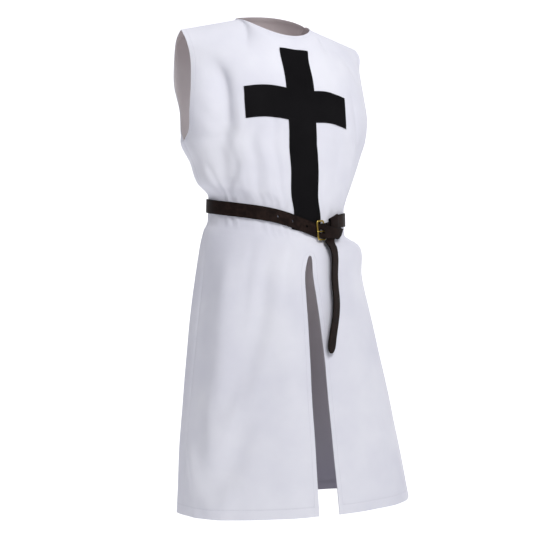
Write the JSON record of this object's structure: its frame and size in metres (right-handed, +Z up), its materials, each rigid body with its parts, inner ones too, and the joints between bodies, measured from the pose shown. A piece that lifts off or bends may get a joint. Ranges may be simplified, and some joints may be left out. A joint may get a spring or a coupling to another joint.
{
  "type": "medieval surcoat",
  "caption": "Sleeveless knightly surcoat worn hollow: white cloth with a black chest cross, wide armholes, an open front slit and a knotted leather belt with a hanging end.",
  "frame": {"origin": "midway between the neck ends of the two shoulder seams, where the garment hangs on the wearer's shoulders", "axes": "+Z up, the wearer faces -Y, +X to the wearer's left"},
  "size_m": [0.5567, 0.3437, 1.0868],
  "materials": {
    "cloth": "white plain-woven cotton",
    "cross_cloth": "black plain-woven cotton",
    "strap_leather": "dark brown, satin",
    "buckle_brass": "satin"
  },
  "bodies": {
    "root": {"front_panel": "cloth", "back_panel": "cloth", "cross_applique": "cross_cloth", "belt_strap": "strap_leather", "buckle_frame": "buckle_brass", "buckle_prong": "buckle_brass"}
  },
  "joints": []
}
